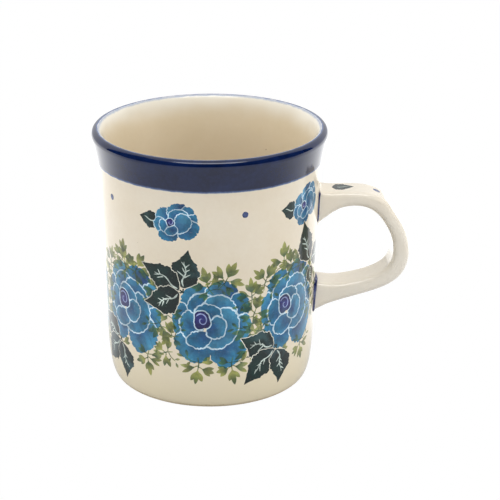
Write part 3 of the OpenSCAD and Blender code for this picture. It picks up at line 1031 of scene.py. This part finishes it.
# ---------------------------------------------------------------------------
# Materials. All patterns run in object space, in metres.
# ---------------------------------------------------------------------------
class Tree:
    """A short way to write a node tree."""

    def __init__(self, name):
        self.mat = bpy.data.materials.new(name)
        self.mat.use_nodes = True
        self.nt = self.mat.node_tree
        self.nt.nodes.clear()
        self.out = self.nt.nodes.new("ShaderNodeOutputMaterial")
        self.bsdf = self.nt.nodes.new("ShaderNodeBsdfPrincipled")
        self.nt.links.new(self.bsdf.outputs[0], self.out.inputs["Surface"])
        self.tc = self.nt.nodes.new("ShaderNodeTexCoord")

    def put(self, sock, val):
        if isinstance(val, bpy.types.NodeSocket):
            self.nt.links.new(val, sock)
        elif isinstance(val, (tuple, list, np.ndarray)) and sock.type == "RGBA":
            v = [float(x) for x in val]
            sock.default_value = v if len(v) == 4 else v + [1.0]
        elif isinstance(val, (tuple, list, np.ndarray)):
            sock.default_value = [float(x) for x in val]
        else:
            sock.default_value = val

    def noise(self, mm, detail=3.0, rough=0.55, distort=0.0, vec=None, color=False):
        n = self.nt.nodes.new("ShaderNodeTexNoise")
        self.nt.links.new(vec if vec is not None else self.tc.outputs["Object"], n.inputs["Vector"])
        n.inputs["Scale"].default_value = 1000.0 / mm
        n.inputs["Detail"].default_value = detail
        n.inputs["Roughness"].default_value = rough
        n.inputs["Distortion"].default_value = distort
        return n.outputs["Color"] if color else n.outputs[0]

    def voronoi(self, mm, feature="F1", rand=1.0, out="Distance"):
        n = self.nt.nodes.new("ShaderNodeTexVoronoi")
        n.feature = feature
        self.nt.links.new(self.tc.outputs["Object"], n.inputs["Vector"])
        n.inputs["Scale"].default_value = 1000.0 / mm
        n.inputs["Randomness"].default_value = rand
        return n.outputs[out]

    def fit(self, val, a0, a1, b0=0.0, b1=1.0, smooth=False):
        n = self.nt.nodes.new("ShaderNodeMapRange")
        n.interpolation_type = "SMOOTHSTEP" if smooth else "LINEAR"
        n.clamp = True
        self.put(n.inputs["Value"], val)
        for k, v in (("From Min", a0), ("From Max", a1), ("To Min", b0), ("To Max", b1)):
            n.inputs[k].default_value = v
        return n.outputs[0]

    def math(self, op, a, b=0.0, c=0.0):
        n = self.nt.nodes.new("ShaderNodeMath")
        n.operation = op
        self.put(n.inputs[0], a)
        self.put(n.inputs[1], b)
        if op in ("MULTIPLY_ADD", "COMPARE", "SMOOTH_MIN", "SMOOTH_MAX"):
            self.put(n.inputs[2], c)
        return n.outputs[0]

    def mix(self, t, a, b, mode="MIX"):
        n = self.nt.nodes.new("ShaderNodeMix")
        n.data_type = "RGBA"
        n.blend_type = mode
        self.put(n.inputs[0], t)
        self.put(n.inputs[6], a)
        self.put(n.inputs[7], b)
        return n.outputs[2]

    def attr(self, name, out="Fac"):
        n = self.nt.nodes.new("ShaderNodeAttribute")
        n.attribute_name = name
        return n.outputs[out]

    def height(self):
        """Object z in mm."""
        n = self.nt.nodes.new("ShaderNodeSeparateXYZ")
        self.nt.links.new(self.tc.outputs["Object"], n.inputs[0])
        return self.math("MULTIPLY", n.outputs["Z"], 1000.0)

    def bump(self, h, strength, mm):
        n = self.nt.nodes.new("ShaderNodeBump")
        n.inputs["Strength"].default_value = strength
        n.inputs["Distance"].default_value = mm * MM
        self.put(n.inputs["Height"], h)
        self.nt.links.new(n.outputs[0], self.bsdf.inputs["Normal"])

    def set(self, **kw):
        for k, v in kw.items():
            self.put(self.bsdf.inputs[k.replace("_", " ")], v)
        return self.mat


CREAM = lin((236, 226, 207))
CREAM_WARM = lin((229, 215, 190))
# painted shade: the liner's cream is a darker copy of the wall's cream
SHADED_INSIDE_CREAM = lin((223, 209, 183))
# painted light: the handle's cream is a lighter copy of the wall's cream
LIT_HANDLE_CREAM = lin((241, 234, 220))


def glaze_base(t, main, warm):
    """Clear glaze on a pale body: faint clouds and a few tiny iron specks."""
    cloud = t.fit(t.noise(26.0, 3.0), 0.35, 0.68, smooth=True)
    col = t.mix(t.math("MULTIPLY", cloud, 0.55), main, warm)
    fine = t.fit(t.noise(1.6, 3.0, 0.6), 0.30, 0.75)
    col = t.mix(t.math("MULTIPLY", fine, 0.10), col, lin((206, 186, 150)))
    cell = t.voronoi(3.4)
    pick = t.voronoi(3.4, out="Color")
    sep = t.nt.nodes.new("ShaderNodeSeparateColor")
    t.nt.links.new(pick, sep.inputs[0])
    size = t.fit(sep.outputs[0], 0.80, 1.0, 0.0, 0.085)
    speck = t.math("LESS_THAN", cell, size)
    col = t.mix(t.math("MULTIPLY", speck, 0.50), col, lin((120, 92, 62)))
    return col


def glaze_surface(t, rough=0.075):
    """Almost mirror-smooth, with the slow swell and pinprick pits of a glaze."""
    swell = t.noise(9.0, 2.0, 0.4)
    pits = t.fit(t.voronoi(2.6), 0.0, 0.10, 0.0, 1.0, smooth=True)
    h = t.math("ADD", t.math("MULTIPLY", swell, 1.0), t.math("MULTIPLY", pits, 0.035))
    t.bump(h, 0.35, 0.10)
    t.set(Roughness=t.fit(t.noise(5.0, 3.0), 0.3, 0.7, rough * 0.8, rough * 1.5))


def mat_painted(name, main, warm, heel=False):
    t = Tree(name)
    col = glaze_base(t, main, warm)
    if heel:        # painted shade: the colour turns warmer and darker towards the foot, where the lower wall is in shade
        painted_low_shade = t.fit(t.height(), 2.0, 30.0, 1.0, 0.0, smooth=True)
        col = t.mix(t.math("MULTIPLY", painted_low_shade, 0.85), col, lin((233, 221, 190)))
    paint = t.attr("paint", "Color")
    cover = t.attr("paint", "Alpha")
    # sponge print: the colour pools and thins in soft clouds and fine mottles
    cloud = t.fit(t.noise(5.2, 3.0, 0.6, 0.5), 0.32, 0.70, 0.70, 1.34, smooth=True)
    mottle = t.fit(t.noise(1.0, 4.0, 0.65), 0.30, 0.72, 0.86, 1.16)
    tone = t.mix(1.0, paint, t.math("MULTIPLY", cloud, mottle), "MULTIPLY")
    wash = t.fit(t.noise(7.5, 2.0, 0.5, 0.3), 0.52, 0.74, 0.0, 0.13, smooth=True)
    tone = t.mix(wash, tone, lin((120, 176, 192)), "SCREEN")
    thin = t.fit(t.noise(0.6, 2.0, 0.7), 0.60, 0.80, 1.0, 0.90)
    col = t.mix(t.math("MULTIPLY", cover, thin), col, tone)
    glaze_surface(t)
    return t.set(Base_Color=col, IOR=1.43 if heel else 1.5)


def mat_band():
    t = Tree("cobalt glaze")
    edge = t.math("MINIMUM", t.attr("edge_out"), t.attr("edge_in"))
    edge = t.math("ADD", edge, t.fit(t.noise(2.6, 3.0, 0.55), 0.25, 0.75, -0.16, 0.16))
    body = t.mix(t.fit(t.noise(7.5, 3.0, 0.55, 0.4), 0.30, 0.72, smooth=True), lin((5, 20, 56)), lin((10, 30, 72)))
    body = t.mix(t.math("MULTIPLY", t.fit(t.noise(1.3, 4.0, 0.7), 0.45, 0.80), 0.35), body, lin((26, 42, 96)))
    bleed = t.mix(t.fit(edge, 0.25, 0.95, smooth=True), lin((84, 106, 150)), body)
    col = t.mix(t.fit(edge, -0.02, 0.30, smooth=True), lin((222, 218, 210)), bleed)
    glaze_surface(t, 0.07)
    return t.set(Base_Color=col, IOR=1.5)


def mat_liner():
    t = Tree("liner glaze")
    # painted shade: the liner takes darker copies of the wall's creams
    col = glaze_base(t, SHADED_INSIDE_CREAM, lin((214, 199, 169)))
    z = t.height()
    # painted shade: the inside turns darker and warmer towards its floor, where less light reaches
    painted_low_shade = t.fit(z, 6.0, 40.0, 1.0, 0.0, smooth=True)
    col = t.mix(t.math("MULTIPLY", painted_low_shade, 0.35), col, lin((208, 190, 154)))
    # painted light: the inside is painted paler towards the lip, where more light falls on it
    wave = t.fit(t.noise(16.0, 2.0), 0.3, 0.7, -1.2, 1.2)
    painted_lip_light = t.fit(t.math("ADD", z, wave), 81.5, 90.2, smooth=True)
    col = t.mix(t.math("MULTIPLY", painted_lip_light, 0.86), col, lin((238, 234, 222)))
    edge = t.math("ADD", t.attr("edge_out"), t.fit(t.noise(2.0, 4.0, 0.6), 0.25, 0.75, -0.25, 0.25))
    col = t.mix(t.fit(edge, 0.1, 1.1, 0.85, 0.0, smooth=True), col, lin((150, 164, 190)))
    glaze_surface(t, 0.08)
    return t.set(Base_Color=col, IOR=1.5)


def mat_clay(name="bare clay"):
    t = Tree(name)
    col = t.mix(t.fit(t.noise(14.0, 4.0), 0.32, 0.70, smooth=True), lin((212, 196, 164)), lin((226, 212, 184)))
    grit = t.fit(t.voronoi(0.9), 0.0, 0.42)
    col = t.mix(t.math("MULTIPLY", t.math("SUBTRACT", 1.0, grit), 0.35), col, lin((140, 108, 74)))
    dark = t.math("LESS_THAN", t.voronoi(2.1), 0.11)
    col = t.mix(t.math("MULTIPLY", dark, 0.6), col, lin((84, 60, 44)))
    h = t.math("ADD", t.math("MULTIPLY", grit, 0.6), t.noise(2.4, 5.0, 0.65))
    t.bump(h, 0.7, 0.12)
    return t.set(Base_Color=col, Roughness=t.fit(t.noise(1.8, 4.0), 0.3, 0.7, 0.72, 0.92), IOR=1.45)


def mat_slip():
    t = Tree("fired slip")
    col = t.mix(t.fit(t.noise(2.2, 4.0, 0.65, 0.6), 0.36, 0.64, smooth=True), lin((16, 24, 74)), lin((46, 58, 112)))
    bare = t.fit(t.noise(4.2, 3.0, 0.6), 0.58, 0.72, smooth=True)
    col = t.mix(t.math("MULTIPLY", bare, 0.60), col, lin((150, 158, 184)))
    plain = t.mix(t.fit(t.noise(3.0, 3.0), 0.35, 0.65), CREAM, CREAM_WARM)
    col = t.mix(t.attr("line"), plain, col)
    t.bump(t.noise(1.1, 4.0, 0.6), 0.5, 0.10)
    return t.set(Base_Color=col, Roughness=t.fit(t.noise(1.5, 3.0), 0.3, 0.7, 0.10, 0.24), IOR=1.5)


# ---------------------------------------------------------------------------
# The pieces
# ---------------------------------------------------------------------------
M_WALL = mat_painted("painted clear glaze", CREAM, CREAM_WARM, heel=True)
# painted light: the handle takes lighter copies of the wall's creams
M_HANDLE = mat_painted("handle glaze", LIT_HANDLE_CREAM, lin((236, 225, 205)))
M_BAND, M_LINER, M_CLAY, M_SLIP = mat_band(), mat_liner(), mat_clay(), mat_slip()

outer = painted_wall("outer_coat", wall_decor(), 118, M_WALL)

arcs = np.concatenate([np.linspace(A_BAND, A_BAND + 1.2, 9)[:-1], np.linspace(A_BAND + 1.2, ARC[n_out - 1], 14)[:-1],
                       np.linspace(ARC[n_out - 1], A_LIPEND, 34)[:-1], np.linspace(A_LIPEND, A_IN, 5)])
band = revolve("band_coat", arcs, 256, GLAZE, M_BAND)
z_turn = float(np.interp(18.0, PROF[::-1, 1][len(centre):len(centre) + len(in_floor)],
                         ARC[::-1][len(centre):len(centre) + len(in_floor)]))
A_FLOOR = float(ARC[-1] - 22.0)
A_NECK = float(ARC[n_out + len(lip) + len(in_flare) - 1])
arcs = np.concatenate([np.linspace(A_IN, A_NECK, 34)[:-1], np.linspace(A_NECK, z_turn, 40)[:-1],
                       np.linspace(z_turn, A_FLOOR, 26)[:-1], np.linspace(A_FLOOR, A_END, 12)])
liner = revolve("liner_coat", arcs, 192, GLAZE, M_LINER)


def clay_section():
    """The thrown cup under its coats: foot ring, recess, wall and floor."""
    pts, nn = [], []

    def line(p, q, k, n):
        for t in np.linspace(0, 1, k):
            pts.append((p[0] + (q[0] - p[0]) * t, p[1] + (q[1] - p[1]) * t))
            nn.append(n)

    def curve(a0, a1, k, d):
        for a in np.linspace(a0, a1, k):
            r, z, nr, nz = (float(x) for x in at_arc(a))
            dd = d(a) if callable(d) else d
            pts.append((r - nr * dd, z - nz * dd))
            nn.append((nr, nz))

    foot_in = FOOT_R - FOOT_W
    line((0.0, RECESS), (foot_in - 1.0, RECESS), 14, (0, -1))
    for a in np.linspace(90, 0, 7):
        q = math.radians(a)
        pts.append((foot_in - 1.0 + 1.0 * math.cos(q), RECESS - 1.0 + 1.0 * math.sin(q)))
        nn.append((-math.cos(q), -math.sin(q)))
    line((foot_in, RECESS - 1.1), (foot_in, 0.5), 3, (-1, 0))
    for a in np.linspace(180, 270, 6):
        q = math.radians(a)
        pts.append((foot_in + 0.5 + 0.5 * math.cos(q), 0.5 + 0.5 * math.sin(q)))
        nn.append((math.cos(q), math.sin(q)))
    line((foot_in + 0.6, 0.0), (FOOT_R - 0.1, 0.0), 6, (0, -1))
    step = lambda a: 0.0 if a <= A_BARE else min(GLAZE, 0.02 + (a - A_BARE) * 0.35)
    curve(0.05, A_BARE + 1.2, 16, step)
    curve(A_BARE + 1.4, A_BAND, 40, GLAZE)
    curve(A_BAND + 0.5, A_LIPEND, 40, GLAZE)
    curve(A_LIPEND + 0.5, A_FLOOR, 60, GLAZE)
    curve(A_FLOOR + 2.0, A_END, 10, GLAZE)
    pts, nn = np.array(pts), np.array(nn, float)
    keep = np.hypot(*(pts - np.roll(pts, 1, 0)).T) > 1e-4       # arcs and lines share their ends
    return pts[keep], nn[keep]


cp, cn = clay_section()
cn /= np.hypot(*cn.T)[:, None]
clay = spin("cup_clay", cp, cn, 192, M_CLAY)
grip, foot_up, foot_lo = painted_handle("handle_coat", M_HANDLE)
bead_up = bead("upper_slip_bead", foot_up, 5, M_SLIP, 0.60, 0.48, 0.2, (-0.78, -0.60), (0.84, 0.99))
bead_lo = bead("lower_slip_bead", foot_lo, 9, M_SLIP, 0.64, 0.52, 0.8, (-0.86, -0.72), (1.2, 1.4))

for ob in (clay, outer, band, liner, grip, bead_up, bead_lo):
    me = ob.data
    vol = 0.0
    co = np.empty(len(me.vertices) * 3)
    me.vertices.foreach_get("co", co)
    co = co.reshape(-1, 3) * 1000
    me.calc_loop_triangles()
    tri = np.empty(len(me.loop_triangles) * 3, int)
    me.loop_triangles.foreach_get("vertices", tri)
    q = co[tri.reshape(-1, 3)]
    vol = float(np.einsum("ij,ij->i", q[:, 0], np.cross(q[:, 1], q[:, 2])).sum() / 6)
    print("PIECE", ob.name, "faces", len(me.polygons), "tris", len(me.loop_triangles), "volume mm3", round(vol, 1))
    if vol < 0:
        me.flip_normals()

for ob in (clay, outer, band, liner, grip, bead_up, bead_lo):
    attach(ob, "root")
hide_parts("cup_body")
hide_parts("outer_glaze")
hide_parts("rim_band")
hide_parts("inner_glaze")
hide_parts("handle_glaze")
core = frame["nodes"]["handle"]           # the clay strap inside its glaze stays as it is
core.data.materials.clear()
core.data.materials.append(M_CLAY)
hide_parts("upper_slip_joint")
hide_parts("lower_slip_joint")
# ---------------------------------------------------------------------------
# Camera, light tent and floor
# ---------------------------------------------------------------------------
scene = bpy.context.scene
scene.view_settings.view_transform = "Standard"
scene.view_settings.look = "None"
scene.view_settings.exposure = 0.0
scene.view_settings.gamma = 1.0

cam_data = bpy.data.cameras.new("camera")
cam = bpy.data.objects.new("camera", cam_data)
scene.collection.objects.link(cam)
PITCH, DIST, FOCAL = 21.60, 538.67, 1533.8
e = math.radians(PITCH)
cam.location = (0.0, -DIST * math.cos(e) * MM, (45 + DIST * math.sin(e)) * MM)
look = (Vector((0, 0, 45 * MM)) - cam.location).to_track_quat("-Z", "Y").to_matrix().to_4x4()
cam.rotation_euler = (look @ Matrix.Rotation(math.radians(ROLL), 4, "Z")).to_euler()
cam_data.sensor_width = 36.0
cam_data.lens = FOCAL * 36.0 / 500.0
cam_data.shift_x = SHIFT_X
cam_data.shift_y = SHIFT_Y
cam_data.clip_start = 0.01
cam_data.clip_end = 20.0
scene.camera = cam

world = bpy.data.worlds.new("tent")
scene.world = world
world.use_nodes = True
bg = world.node_tree.nodes["Background"]
bg.inputs["Color"].default_value = (1.0, 1.0, 1.0, 1.0)
bg.inputs["Strength"].default_value = WORLD


def card(name, size, at, target, color, rough=0.9):
    me = bpy.data.meshes.new(name)
    w, h = size[0] / 2, size[1] / 2
    me.from_pydata([(-w, -h, 0), (w, -h, 0), (w, h, 0), (-w, h, 0)], [], [(0, 1, 2, 3)])
    ob = bpy.data.objects.new(name, me)
    scene.collection.objects.link(ob)
    ob.location = at
    ob.rotation_euler = (Vector(target) - Vector(at)).to_track_quat("Z", "Y").to_euler()
    m = bpy.data.materials.new(name)
    m.use_nodes = True
    b = m.node_tree.nodes["Principled BSDF"]
    b.inputs["Base Color"].default_value = tuple(color) + (1.0,)
    b.inputs["Roughness"].default_value = rough
    b.inputs["Specular IOR Level"].default_value = 0.0
    me.materials.append(m)
    return ob


def softbox(name, size, at, target, watts):
    d = bpy.data.lights.new(name, "AREA")
    d.shape = "RECTANGLE"
    d.size, d.size_y = size
    d.energy = watts
    ob = bpy.data.objects.new(name, d)
    scene.collection.objects.link(ob)
    ob.location = at
    ob.rotation_euler = (Vector(target) - Vector(at)).to_track_quat("-Z", "Y").to_euler()
    ob.visible_camera = False
    return ob


# the pale table in three layers: the light it throws back on the cup, its
# reflection in the glaze (brighter towards the back, like the lit floor of a
# light tent), and the plain paper that the camera sees
table = card("table", (6.0, 6.0), (0, 0, 0), (0, 0, 1), (0.50, 0.50, 0.50))
table.visible_camera = table.visible_glossy = False
sheen = card("table sheen", (3.0, 3.0), (0, 0, 0), (0, 0, 1), (0.0, 0.0, 0.0))
sheen.visible_camera = sheen.visible_diffuse = sheen.visible_shadow = False
sheen.rotation_euler = (0, 0, 0)
nt = sheen.data.materials[0].node_tree
tb = nt.nodes["Principled BSDF"]


def node(kind, **kw):
    n = nt.nodes.new(kind)
    for k, v in kw.items():
        setattr(n, k, v)
    return n


def step(sock, a0, a1, b0, b1):
    n = node("ShaderNodeMapRange", interpolation_type="SMOOTHSTEP")
    nt.links.new(sock, n.inputs["Value"])
    for k, v in (("From Min", a0), ("From Max", a1), ("To Min", b0), ("To Max", b1)):
        n.inputs[k].default_value = v
    return n.outputs[0]


tc = node("ShaderNodeTexCoord")
sep = node("ShaderNodeSeparateXYZ")
nt.links.new(tc.outputs["Object"], sep.inputs[0])
dist = node("ShaderNodeVectorMath", operation="LENGTH")
nt.links.new(tc.outputs["Object"], dist.inputs[0])
# painted shadow: the table's reflection is dimmed close to the cup
sheen_with_painted_shadow = node("ShaderNodeMath", operation="MULTIPLY")
nt.links.new(step(dist.outputs["Value"], 0.030, 0.075, 0.45, 1.0), sheen_with_painted_shadow.inputs[0])
nt.links.new(step(sep.outputs["Y"], -0.09, 0.13, FLOOR_F, FLOOR_B), sheen_with_painted_shadow.inputs[1])
tb.inputs["Emission Color"].default_value = (1.0, 1.0, 1.0, 1.0)
nt.links.new(sheen_with_painted_shadow.outputs[0], tb.inputs["Emission Strength"])
paper = card("paper", (6.0, 6.0), (0, 0, 0), (0, 0, 1), (0.16, 0.16, 0.16))
pb = paper.data.materials[0].node_tree.nodes["Principled BSDF"]
pb.inputs["Emission Color"].default_value = (1.0, 1.0, 1.0, 1.0)
pb.inputs["Emission Strength"].default_value = 0.92
paper.visible_diffuse = paper.visible_glossy = paper.visible_transmission = paper.visible_shadow = False
# the unlit front of the tent: one card takes light away, a wider curved one is
# what the lip and the handle mirror
dark = card("dark front", (2.2, 2.2), (0.0, -1.25, 1.12), (0, 0, 1.0), (0.012, 0.012, 0.014))
dark.visible_camera = dark.visible_glossy = False
me = bpy.data.meshes.new("dark round")
az = [math.radians(a) for a in range(-112, 113, 8)]
rings = ((1.3, 0.02), (1.3, 1.15), (0.98, 1.62))
me.from_pydata([(r * math.sin(a), -r * math.cos(a), z) for r, z in rings for a in az], [],
               [(q * len(az) + i, q * len(az) + i + 1, (q + 1) * len(az) + i + 1, (q + 1) * len(az) + i)
                for q in (0, 1) for i in range(len(az) - 1)])
around = bpy.data.objects.new("dark round", me)
scene.collection.objects.link(around)
me.materials.append(dark.data.materials[0])
around.visible_camera = around.visible_diffuse = around.visible_shadow = False
roof = card("bright roof", (1.3, 0.62), (0.0, -0.56, 1.6), (0, -0.56, 0), (0.0, 0.0, 0.0))
rb = roof.data.materials[0].node_tree.nodes["Principled BSDF"]
rb.inputs["Emission Color"].default_value = (1.0, 1.0, 1.0, 1.0)
rb.inputs["Emission Strength"].default_value = 6.0
roof.visible_camera = roof.visible_diffuse = roof.visible_shadow = False
for name, size, at, watts in (("left", (1.0, 1.0), (-1.2, -0.15, 0.6), 4.2),
                              ("right", (1.0, 1.0), (1.2, -0.15, 0.6), 2.4),
                              ("front fill", (0.7, 0.56), (0.0, -0.80, 0.88), 4.6),
                              ("right fill", (0.6, 0.6), (0.71, -0.75, 0.42), 1.5)):
    lamp = softbox(name, size, at, (0, 0, 0.05), watts)
    lamp.visible_glossy = False
